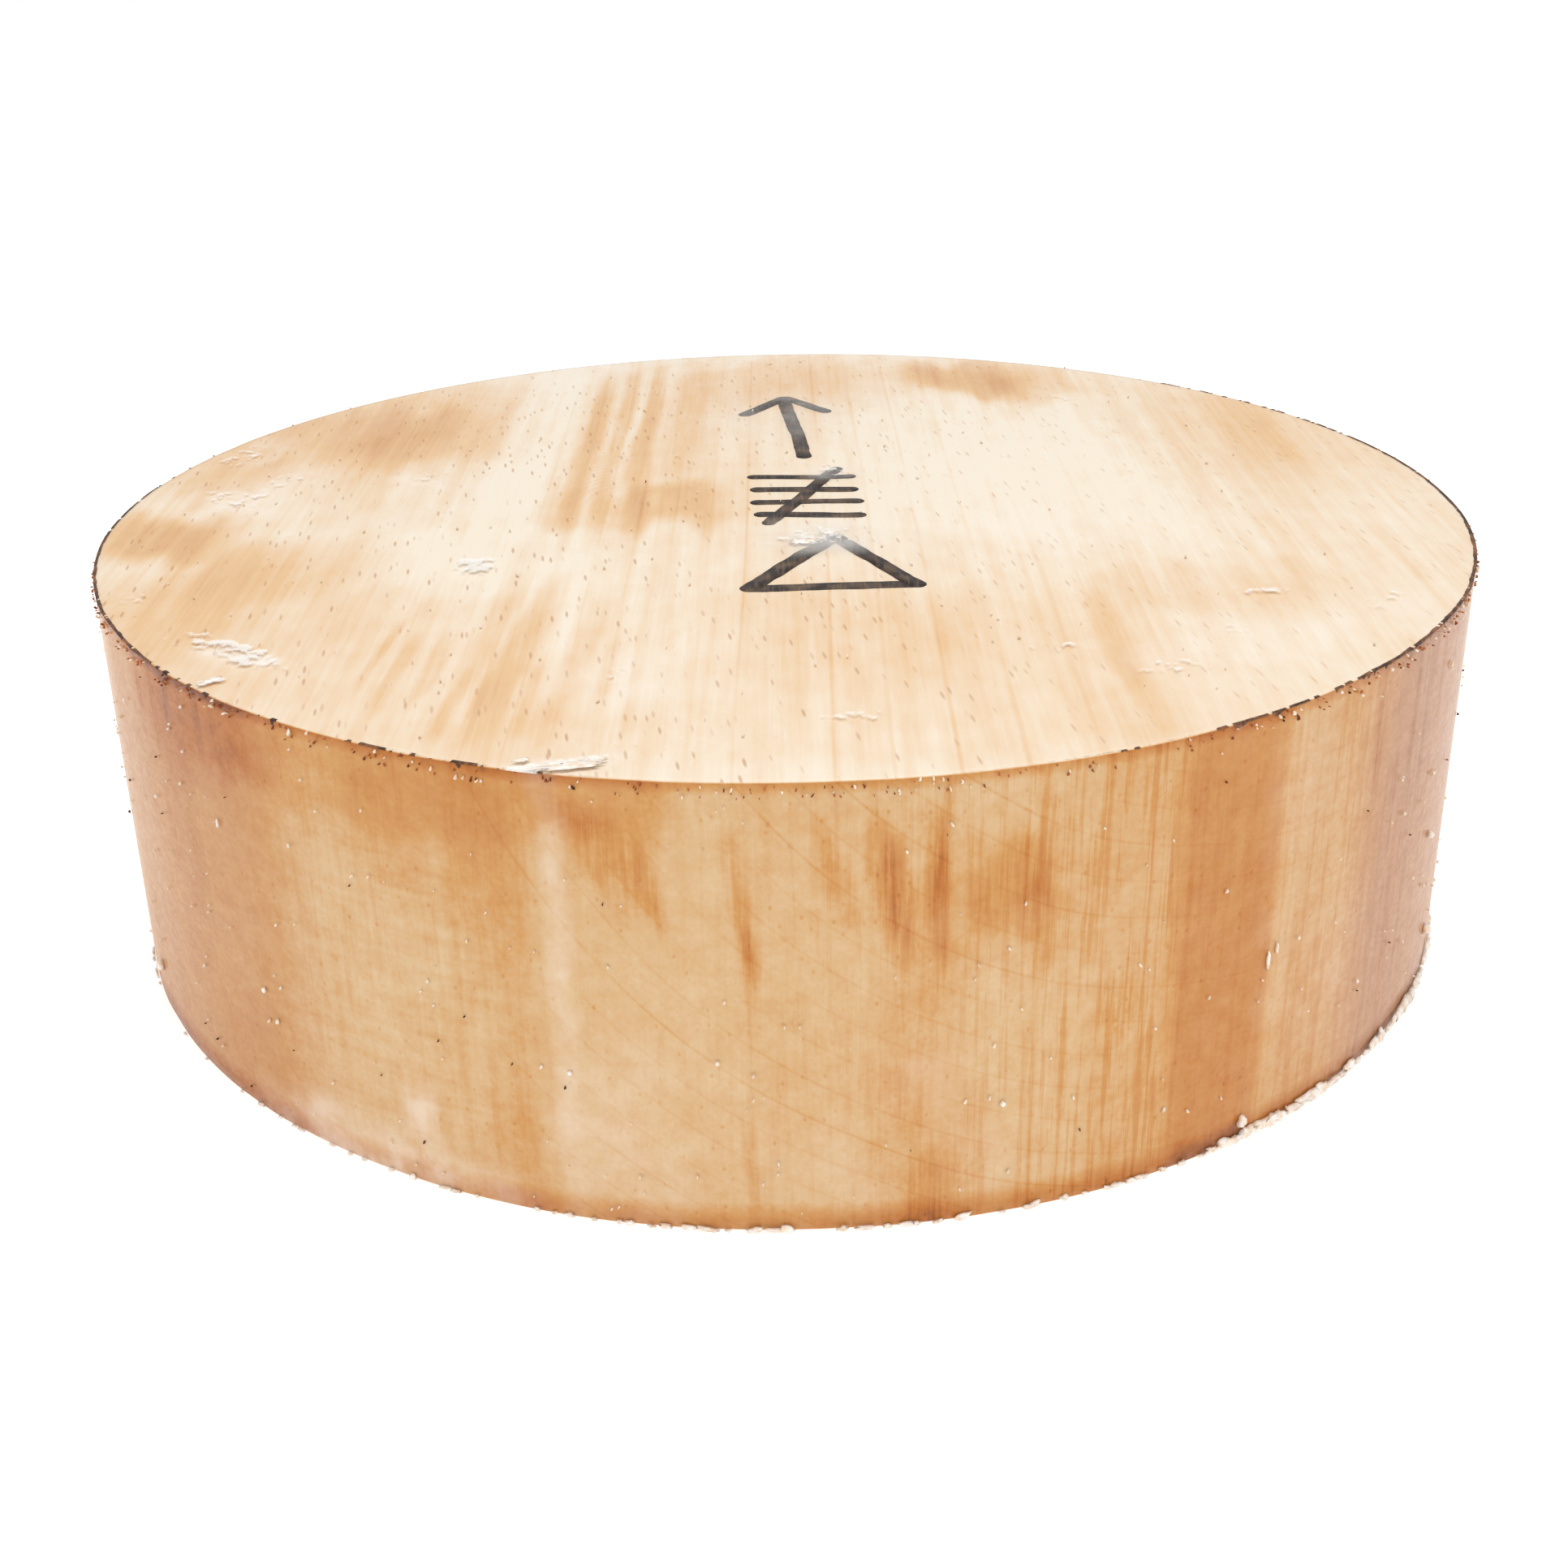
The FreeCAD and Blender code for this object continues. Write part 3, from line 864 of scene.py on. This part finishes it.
def beech_material():
    """Beech: stains, growth rings, fibres, ray flecks, saw lines, painted shade on the rim's pinker
    sides, and the wax's soft milkiness with a painted reflection towards the far edge of the faces.
    """
    n = Nodes("waxed_beech")
    place = n.place()
    rim = n.layer("rim")
    weave = n.layer("weave")

    # Fibres along the grain, seen as streaks on the faces and as pores on the end grain.
    fibre = n.noise(n.place(0.5, 16, 0.5), detail=3, roughness=0.6)
    band = n.noise(n.place(1.7, 50, 1.7), detail=3)
    mottle = n.noise(n.place(3.0, 6.0, 3.0), detail=4, roughness=0.6)
    saw = n.noise(round_the_rim(n, place, 0.9, 24.0), detail=3, roughness=0.7)
    comb = n.maths("MULTIPLY", n.ramp(saw, 0.47, 0.63), n.layer("comb"))
    bristle = n.noise(round_the_rim(n, place, 0.55, 9.0), detail=3, roughness=0.65)
    brushed = n.maths("MULTIPLY", n.layer("streak"), n.ramp(bristle, 0.30, 0.70, 0.55, 1.35))
    level = n.noise(round_the_rim(n, place, 14.0, 1.1), detail=2)
    upright = n.noise(round_the_rim(n, place, 1.0, 16.0), detail=2)
    threads = n.maths("MULTIPLY", centred(n, n.maths("ADD", level, upright), 0.34), weave)
    threads = n.maths("SUBTRACT", threads, n.maths("MULTIPLY", weave, 0.17))
    plain = n.maths("SUBTRACT", 1.0, n.maths("MULTIPLY", weave, 0.85))
    ring = n.maths("MULTIPLY", growth_rings(n, place), plain)

    tone = chain(
        n,
        "ADD",
        n.layer("stain"),
        centred(n, fibre, 0.30),
        centred(n, band, 0.40),
        centred(n, mottle, 0.30),
        n.maths("MULTIPLY", ring, 0.16),
        chain(n, "MULTIPLY", end_grain_pores(n), rim, 0.22),
        comb,
        brushed,
        threads,
    )
    tone = n.maths("MULTIPLY", tone, 2.0)
    face_colour = n.palette(
        tone, srgb(243, 230, 210), srgb(230, 190, 142), srgb(206, 148, 94), srgb(150, 92, 50)
    )
    rim_colour = n.palette(
        tone, srgb(215, 184, 141), srgb(203, 147, 82), srgb(185, 110, 38), srgb(128, 66, 24)
    )
    # A darker, greyer rim palette: pink-grey wood, with painted shade on the rim's sides.
    blush_and_shade_colour = n.palette(
        tone, srgb(204, 168, 134), srgb(186, 137, 102), srgb(158, 105, 66), srgb(112, 64, 36)
    )
    rim_colour = n.blend(n.layer("blush_and_shade"), rim_colour, blush_and_shade_colour)
    colour = n.blend(rim, face_colour, rim_colour)
    across = n.add("ShaderNodeSeparateXYZ", {0: place})
    to_the_right = n.ramp(across, -15.0, 45.0, 1.0, 0.45)
    fleck = chain(n, "MULTIPLY", ray_flecks(n), n.ramp(rim, 0.0, 1.0, 0.66, 0.10), to_the_right)
    colour = n.blend(fleck, colour, srgb(188, 136, 86))
    cloud = n.noise(n.place(4, 8, 4), detail=3, roughness=0.55)
    # The haze layer whitens the wood: milky wax, and on the faces also a painted reflection towards the
    # far edge.
    milky = n.maths("MULTIPLY", n.layer("haze"), n.ramp(cloud, 0.35, 0.65, 0.5, 1.3))
    colour = n.blend(milky, colour, srgb(247, 238, 226))
    roughness = n.ramp(fibre, 0.3, 0.7, 0.42, 0.55)
    height = n.maths("ADD", fibre, n.maths("MULTIPLY", saw, rim))
    return n.finish(
        colour,
        roughness,
        bump=height,
        bump_depth=0.03,
        Specular_IOR_Level=0.15,
        Coat_Weight=0.3,
        Coat_Roughness=0.12,
        Coat_IOR=1.44,
    )


# ---------------- pieces


def make_beech():
    """The sawn round of wood, which reaches a little into the wax under it."""
    foot = WOOD_FOOT - 0.2
    foot_inset = 0.1
    arris = 0.12
    rows = 46
    foot_rings = 22
    cells = 205
    heights = np.linspace(WOOD_TOP - 2 * arris, foot + foot_inset, rows)
    profile = [(WOOD_RADIUS - arris, WOOD_TOP), (WOOD_RADIUS, WOOD_TOP - arris)]
    profile += [(WOOD_RADIUS, height) for height in heights]
    profile += [(radius, foot) for radius in np.linspace(WOOD_RADIUS - foot_inset, 3, foot_rings)]
    profile.append((0.0, foot))

    def saw_wander(points):
        reach = np.linalg.norm(points[:, :2], axis=1)
        near_rim = smooth_step(reach, 0.6 * WOOD_RADIUS, WOOD_RADIUS)
        grow = 1 + near_rim * out_of_round(points) / WOOD_RADIUS
        return points * np.column_stack([grow, grow, np.ones(len(points))])

    piece, points = turned_solid("sawn_beech_round", profile, cells, saw_wander)
    on_rim = (points[:, 2] < WOOD_TOP - arris / 2) & (points[:, 2] > foot + foot_inset / 2)
    underneath = points[:, 2] < WOOD_TOP / 2
    seen = np.where(underneath[:, None], turned_round(points), points)
    flat_stain = np.where(underneath, face_stain(seen, narrowest=7), face_stain(points))
    stain = np.where(on_rim, rim_stain(points), flat_stain)
    comb = np.interp(azimuth_of(points), *np.array(COMB).T)
    add_layer(piece, "stain", stain)
    add_layer(piece, "rim", on_rim)
    add_layer(piece, "comb", np.where(on_rim, comb, 0))
    add_layer(piece, "streak", np.where(on_rim, rim_streaks(points), 0))
    add_layer(piece, "weave", np.where(on_rim, rim_zones(points, WEAVE), 0))
    # This layer holds the rim's pink tone and the painted shade on its sides.
    add_layer(piece, "blush_and_shade", np.where(on_rim, rim_zones(points, RIM_BLUSH_AND_SHADE), 0))
    # On the faces the haze layer holds a painted reflection towards the far edge as well as milky wax.
    add_layer(piece, "haze", np.where(on_rim, rim_haze(points), face_haze_and_reflection(seen)))
    dress(piece, beech_material(), "beech_disc")


def hazy_places(points, zones):
    """How milky the wax is in the zones of a flat face."""
    drift = 2.5
    across = points[:, 0] + drift * cloud_noise(points, 7, 110)
    along = points[:, 1] + drift * cloud_noise(points, 7, 120)
    haze = np.zeros(len(points))
    for *oval, amount in zones:
        haze += amount * turned_patch(across, along, oval, 0.7)
    return haze


def face_haze_and_reflection(points):
    """How milky the wax is over a flat face, with a painted reflection of the white room that whitens it
    towards the far edge, most at the far left; a little more along the edge.
    """
    reach = np.linalg.norm(points[:, :2], axis=1)
    haze = 0.03 + 0.05 * cloud_noise(points, 22, 130) + hazy_places(points, FACE_HAZE)
    # Painted reflection: the far part of the face, seen at a grazing angle, is whitened as if it mirrored
    # the white room.
    haze += 0.20 * smooth_step(points[:, 1] - 0.45 * points[:, 0], 52, 88)
    haze += 0.40 * smooth_step(points[:, 1], 60, 77)
    return np.clip(haze + 0.15 * smooth_step(reach, 75.5, 76.5), 0, 1)


def pen_haze(points):
    """How milky the wax is where it lies over the marks of the pen."""
    return np.clip(hazy_places(points, PEN_HAZE), 0, 1)


def face_crust(points):
    """How much of the top is covered by a thin white crust: 0 none, 1 all."""
    drift = 1.0
    across = points[:, 0] + drift * cloud_noise(points, 4, 160)
    along = points[:, 1] + drift * cloud_noise(points, 4, 170)
    crust = np.zeros(len(points))
    for *oval, amount in CRUSTS:
        crust = np.maximum(crust, amount * turned_patch(across, along, oval, 0.7))
    return crust


def base_crust(points):
    """How much of the underside is covered by a thin white crust."""
    return face_crust(turned_round(points))


def nothing(points):
    """No haze or no crust anywhere."""
    return np.zeros(len(points))


def rim_haze(points):
    """How milky the wax is over the rim: a little everywhere, more where it ran and pooled."""
    azimuth = azimuth_of(points) + 0.8 * cloud_noise(points, 4, 145)
    height = points[:, 2] + 1.5 * cloud_noise(points, 5, 150)
    haze = 0.02 + 0.03 * cloud_noise(points, 9, 140)
    for centre, level, half_width, half_height, amount in RIM_HAZE:
        haze += amount * patch((azimuth - centre) / half_width, (height - level) / half_height, 0.8)
    return np.clip(haze, 0, 1)


def wax_film_material():
    """Clear wax: it shows only as white crusts and as a haze over the marks of the pen."""
    n = Nodes("clear_wax_film")
    haze = n.layer("haze")
    cloud = n.noise(n.place(4, 8, 4), detail=3, roughness=0.55)
    broken = n.ramp(cloud, 0.35, 0.65, 0.5, 1.3)
    grain = n.noise(n.place(1.4, 1.4, 1.4), detail=5, roughness=0.65)
    crust = n.layer("crust")
    covered = n.maths("ADD", crust, centred(n, grain, 1.8))
    near_crust = n.ramp(crust, 0.0, 0.1)
    flake = n.maths("MULTIPLY", n.ramp(covered, 0.46, 0.70, 0.0, 0.80), near_crust)
    milky = n.maths("MULTIPLY", haze, broken)
    n.put(n.shader.inputs["Alpha"], n.maths("MAXIMUM", milky, flake))
    return n.finish(srgb(250, 245, 238), 0.35)


def finish_film(made, node, haze_of, crust_of, material):
    """One zone of the skin of wax, as a closed solid that dips a little into the wood."""
    piece, points = made
    add_layer(piece, "haze", haze_of(points))
    add_layer(piece, "crust", crust_of(points))
    dress(piece, material, node)


def make_wax_skin():
    """The clear skin of wax, one film for each zone of the frame."""
    dip = 0.15
    bevel = 0.25
    cells = 150
    inside = WOOD_RADIUS - dip
    film = wax_film_material()
    turns = np.radians([0, 22.5, 45, 67.5, 90])
    rounding = [
        (COAT_RADIUS - bevel + bevel * math.sin(turn), bevel * (1 - math.cos(turn)))
        for turn in turns
    ]
    top = [(radius, COAT_TOP - drop) for radius, drop in rounding]
    top += [(COAT_RADIUS, WOOD_TOP), (inside, WOOD_TOP - dip), (0.0, WOOD_TOP - dip)]
    made = turned_solid("wax_film_top", top, cells)
    finish_film(made, "wax_top_coat", pen_haze, face_crust, film)

    base = list(rounding)
    base += [(COAT_RADIUS, WOOD_FOOT), (inside, WOOD_FOOT + dip), (0.0, WOOD_FOOT + dip)]
    made = turned_solid("wax_film_base", base, cells, upside_down=True)
    finish_film(made, "wax_base_coat", nothing, base_crust, film)

    rows = np.linspace(WOOD_FOOT, WOOD_TOP, 36)
    rim = [(inside, height) for height in rows[::-1]] + [(COAT_RADIUS, height) for height in rows]
    made = turned_ring("wax_film_rim", rim, 4 * cells)
    finish_film(made, "wax_rim_coat", nothing, nothing, film)


def thick_wax_material():
    """Wax thick enough to be white: crusts, lumps and beads."""
    n = Nodes("milky_wax")
    cloud = n.noise(n.place(0.8, 0.8, 0.8), detail=3)
    colour = n.palette(n.ramp(cloud, 0.35, 0.65), srgb(243, 220, 194), srgb(255, 250, 244))
    return n.finish(
        colour,
        n.ramp(cloud, 0.3, 0.7, 0.25, 0.5),
        bump=n.noise(n.place(0.6, 0.6, 0.6), detail=2),
        bump_depth=0.03,
        Coat_Weight=0.4,
        Coat_Roughness=0.2,
    )


def dust_material(name, first, second):
    """Sawdust and dirt caught in the wax."""
    n = Nodes(name)
    cloud = n.noise(n.place(1.5, 1.5, 1.5), detail=1)
    colour = n.palette(n.ramp(cloud, 0.4, 0.6), first, second)
    return n.finish(colour, 0.6, Specular_IOR_Level=0.2)


def ink_material(name, dark, worn):
    """Felt pen ink: dark where it pooled, and paler where the fibres of the wood show through."""
    n = Nodes(name)
    fibre = n.noise(n.place(0.3, 3.0, 0.3), detail=3)
    pool = n.noise(n.place(3.0, 3.0, 3.0), detail=1)
    tone = n.maths("ADD", n.ramp(fibre, 0.45, 0.72, 0.0, 0.55), n.ramp(pool, 0.4, 0.7, 0.0, 0.6))
    colour = n.palette(tone, dark, worn)
    return n.finish(colour, 0.6, Specular_IOR_Level=0.2, Coat_Weight=0.15, Coat_Roughness=0.2)


def stroke_loops(start, end, width, seed, lift):
    """Cross-sections of one pen stroke lying on the wood: it wavers, and its ends are round."""
    start, end = np.array(start, float), np.array(end, float)
    run = np.linalg.norm(end - start)
    along = (end - start) / run
    across = np.array([-along[1], along[0]])
    step = 0.2
    reach = np.linspace(-width / 2, run + width / 2, int(run / step))
    line = np.column_stack([reach, np.full(len(reach), seed * 7.0), np.zeros(len(reach))])
    bend = 0.35 * lattice_noise(line, 9.0, seed)
    from_end = np.minimum(reach + width / 2, run + width / 2 - reach)
    inside = np.clip(from_end / (width / 2), 0.02, 1)
    half = width / 2 * np.sqrt(1 - (1 - inside) ** 2)
    left = half * (1 + 0.16 * cloud_noise(line, 2.2, seed + 1)) + bend
    right = -half * (1 + 0.16 * cloud_noise(line, 2.2, seed + 2)) + bend
    middle = start + reach[:, None] * along
    low, high = WOOD_TOP - 0.05, WOOD_TOP + 0.05 + lift
    sides = [(left, low), (left, high), (right, high), (right, low)]
    corners = [
        np.column_stack([middle + side[:, None] * across, np.full(len(reach), height)])
        for side, height in sides
    ]
    return np.stack(corners, axis=1)


def make_felt_pen_mark(ink):
    """Generic workshop marks: a carpenter's triangle, a tally and an arrow along the grain."""
    strokes = []
    for number, (start, end, width) in enumerate(PEN_STROKES):
        loops = stroke_loops(start, end, width, 200 + 5 * number, 0.004 * number)
        strokes.append(loft(f"stroke_{number}", loops))
    first = strokes[0]
    with bpy.context.temp_override(
        active_object=first, object=first, selected_editable_objects=strokes
    ):
        bpy.ops.object.join()
    first.name = "felt_pen_strokes"
    dress(first, ink, "felt_pen_mark")


def make_layout_line(ink):
    """What the saw left of the layout circle: uneven ink on the arris, notched by the teeth."""
    for number, (side, stops) in enumerate(EDGE_INK.items()):
        places, widths, unbroken = np.array(stops).T
        azimuth = np.arange(places[0], places[-1], 0.12)
        probe = rim_points(azimuth, WOOD_RADIUS, 0.0)
        ragged = 1 + 0.45 * cloud_noise(probe, 1.3, 300 + number)
        width = np.interp(azimuth, places, widths) * ragged
        teeth = smooth_step(lattice_noise(probe, 0.55, 310 + number), 0.0, 0.5)
        drop = 0.10 + 0.50 * teeth * smooth_step(lattice_noise(probe, 5, 320 + number), -0.3, 0.5)
        chance = 0.5 + 0.6 * cloud_noise(probe, 1.1, 330 + number)
        gap = 1 - np.interp(azimuth, places, unbroken)
        shown = smooth_step(chance, gap - 0.06, gap + 0.06)
        outer = WOOD_RADIUS - 0.10 + 0.13 * shown + out_of_round(probe)
        inner = outer - 0.05 - np.clip(width, 0.02, None)
        high = WOOD_TOP - 0.10 + 0.15 * shown
        low = high - 0.13
        section = [
            (outer, high - drop),
            (outer, high - 0.02),
            (inner, high),
            (inner, low),
            (outer - 0.3, low),
            (outer - 0.3, high - drop - 0.01),
        ]
        loops = np.stack([rim_points(azimuth, radius, height) for radius, height in section], axis=1)
        piece = loft(f"layout_line_{side}", loops)
        dress(piece, ink, "layout_line")


def make_wax_flakes(wax):
    """Flakes of wax that stand a little proud of the top."""
    blobs = Blobs(400)
    for x, y, half_x, half_y, turn in FLAKES:
        dome = blobs.dome(
            half_x, half_y, 0.04, turn, rings=6, columns=40, rough=0.45, steep=1.0, sink=0.01
        )
        blobs.on_top(x, y, dome)
    blobs.make("wax_top_flakes", wax)


def make_foot_lumps(wax):
    """Lumps of wax that ran down and set round the foot, many of them run together."""
    blobs = Blobs(500)
    smallest = 0.22
    azimuth = -180.0
    places, sizes = np.array(FOOT_WAX).T
    while azimuth < 180:
        size = np.interp(azimuth, places, sizes) * blobs.random.uniform(0.40, 1.2)
        long = blobs.random.uniform(0.8, 2.3) * size
        tall = blobs.random.uniform(0.32, 0.82) * size
        out = blobs.random.uniform(0.20, 0.42) * size
        turn = blobs.random.uniform(-14, 14)
        dome = blobs.dome(long, tall, out, turn, rings=6, columns=16, rough=0.40, steep=0.7)
        if size > smallest:
            height = 0.15 + 0.5 * tall + blobs.random.uniform(0, 0.3) * size
            blobs.on_rim(azimuth, height, dome)
        azimuth += blobs.random.uniform(0.6, 1.9)
    blobs.make("wax_foot_drips", wax, "wax_foot_lumps")


def make_rim_beads(wax):
    """Beads and smears of wax on the rim."""
    blobs = Blobs(600)
    for azimuth, height, half_u, half_v, out in RIM_BEADS:
        blobs.on_rim(azimuth, height, blobs.dome(half_u, half_v, out, rough=0.25))
    blobs.make("wax_side_beads", wax, "wax_rim_beads")


def scatter(name, seed, count, sizes, shares, material):
    """Specks of dust in the wax: the shares of them that lie on the top and along the arris."""
    blobs = Blobs(seed)
    for _ in range(count):
        size = blobs.random.uniform(*sizes)
        dome = blobs.dome(
            size * blobs.random.uniform(0.5, 1.0),
            size * blobs.random.uniform(0.8, 2.2),
            0.5 * size,
            blobs.random.uniform(-40, 40),
            rings=2,
            columns=7,
        )
        lot = blobs.random.uniform(0, 1)
        azimuth = blobs.random.uniform(-180, 180)
        height = blobs.random.uniform(0.8, COAT_TOP - 0.8)
        reach = (COAT_RADIUS - 1) * math.sqrt(blobs.random.uniform(0, 1))
        if lot < shares[0]:
            blobs.on_top(*rim_points(azimuth, reach, 0.0)[:2], dome)
        elif lot < shares[0] + shares[1]:
            blobs.on_rim(azimuth, COAT_TOP - 0.4 - 0.03 * height, dome)
        else:
            blobs.on_rim(azimuth, height, dome)
    blobs.make(name, material)


# ---------------- stage, light and camera


def make_stage():
    """A plain pale floor, far larger than the blank."""
    half = 3000.0
    corners = [(-half, -half, 0), (half, -half, 0), (half, half, 0), (-half, half, 0)]
    floor = add_mesh("floor", corners, [(0, 1, 2, 3)])
    n = Nodes("pale_floor")
    n.put(n.shader.inputs["Emission Color"], (1.0, 1.0, 1.0, 1.0))
    n.put(n.shader.inputs["Emission Strength"], 0.45)
    floor.data.materials.append(n.finish((0.92, 0.92, 0.92, 1.0), 0.9))
    floor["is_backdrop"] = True


def add_area_light(name, place, size, power, target=(0.0, 0.0, 0.02)):
    """A large square lamp that looks at the blank."""
    lamp = bpy.data.lights.new(name, "AREA")
    lamp.size = size
    lamp.energy = power
    holder = bpy.data.objects.new(name, lamp)
    bpy.context.collection.objects.link(holder)
    away = Vector(place) - Vector(target)
    holder.matrix_world = Matrix.Translation(place) @ away.to_track_quat("Z", "Y").to_matrix().to_4x4()


def make_light():
    """A white room and two large lamps, one overhead and one in front."""
    world = bpy.data.worlds.new("white_room")
    world.use_nodes = True
    background = world.node_tree.nodes["Background"]
    background.inputs["Color"].default_value = (1.0, 1.0, 1.0, 1.0)
    background.inputs["Strength"].default_value = 0.56
    bpy.context.scene.world = world
    bpy.context.scene.view_settings.view_transform = "Standard"
    add_area_light("overhead_softbox", (0.1, -0.1, 0.9), 0.9, 5.75)
    add_area_light("front_softbox", (-0.25, -1.1, 0.45), 0.8, 1.0)


def make_camera():
    """Close, a little above the rim, looking along the grain."""
    distance = 214.87
    elevation = math.radians(24.97)
    roll = math.radians(-0.983)
    aim = Vector((-0.48, -28.66, 22.525))
    data = bpy.data.cameras.new("camera")
    data.sensor_width = 36.0
    data.lens = 46.06
    data.clip_start = 0.01
    back = Vector((0.0, -math.cos(elevation), math.sin(elevation)))
    place = (aim + distance * back) * MM
    tilt = Matrix.Rotation(math.pi / 2 - elevation, 4, "X")
    camera = bpy.data.objects.new("camera", data)
    bpy.context.collection.objects.link(camera)
    camera.matrix_world = Matrix.Translation(place) @ tilt @ Matrix.Rotation(roll, 4, "Z")
    bpy.context.scene.camera = camera


make_camera()
make_light()
make_stage()
make_beech()
make_wax_skin()
make_felt_pen_mark(ink_material("felt_pen_ink", srgb(44, 36, 33), srgb(112, 90, 72)))
make_layout_line(ink_material("worn_line_ink", srgb(66, 44, 32), srgb(150, 100, 66)))
WAX = thick_wax_material()
make_wax_flakes(WAX)
make_foot_lumps(WAX)
make_rim_beads(WAX)
# Pale specks: sawdust in the wax, which also stand in for the wax's tiny sparkles as painted glints.
PALE_DUST_AND_GLINTS = dust_material("pale_dust_and_glints", srgb(250, 240, 225), srgb(235, 215, 185))
DARK_DUST = dust_material("dark_dust", srgb(70, 40, 28), srgb(120, 72, 44))
scatter("pale_sawdust_and_glints", 700, 800, (0.06, 0.17), (0.2, 0.25), PALE_DUST_AND_GLINTS)
scatter("dark_specks", 800, 100, (0.05, 0.11), (0.05, 0.1), DARK_DUST)
RUSTY_DUST = dust_material("rusty_dust", srgb(130, 66, 38), srgb(190, 116, 66))
scatter("arris_chips", 900, 560, (0.05, 0.13), (0.0, 1.0), RUSTY_DUST)

boxes = {"cad": CAD_BOX, "visual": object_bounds()}
{key: [list(map(float, corner)) for corner in box] for key, box in boxes.items()}
